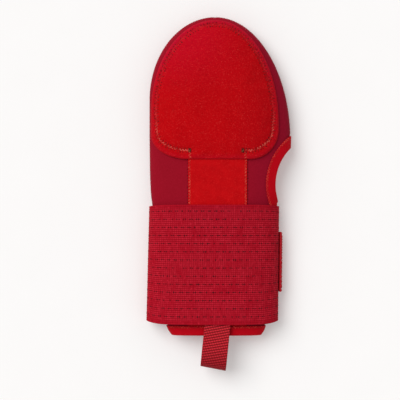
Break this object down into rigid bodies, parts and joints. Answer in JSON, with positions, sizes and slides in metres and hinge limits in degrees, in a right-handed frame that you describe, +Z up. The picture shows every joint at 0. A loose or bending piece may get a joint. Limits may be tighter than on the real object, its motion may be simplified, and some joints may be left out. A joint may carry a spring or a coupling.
{
  "type": "sliding mitt",
  "caption": "Flat neoprene hand sleeve with a padded finger plate, a bound thumb opening, a wide elastic wrist strap closed by a hook tab, and a webbing pull loop at the cuff.",
  "frame": {"origin": "middle of the mitt's plan outline, on the surface that it lies on", "axes": "+Y from the cuff towards the fingertips, +X towards the thumb side, +Z up, away from the palm"},
  "size_m": [0.1256, 0.3066, 0.0315],
  "materials": {
    "neoprene": "matte knit face on neoprene foam",
    "pad_fabric": "brushed loop pile",
    "binding": "folded stretch tape",
    "elastic": "ribbed knitted elastic",
    "hook_tape": "hook side of touch tape",
    "webbing": "ribbed woven webbing"
  },
  "bodies": {
    "root": {"back_panel": "neoprene", "palm_panel": "neoprene", "finger_pad": "pad_fabric", "centre_panel": "pad_fabric", "thumb_binding": "binding", "cuff_binding": "binding", "wrist_strap": "elastic", "hook_tab": "hook_tape", "pull_loop": "webbing"}
  },
  "joints": []
}
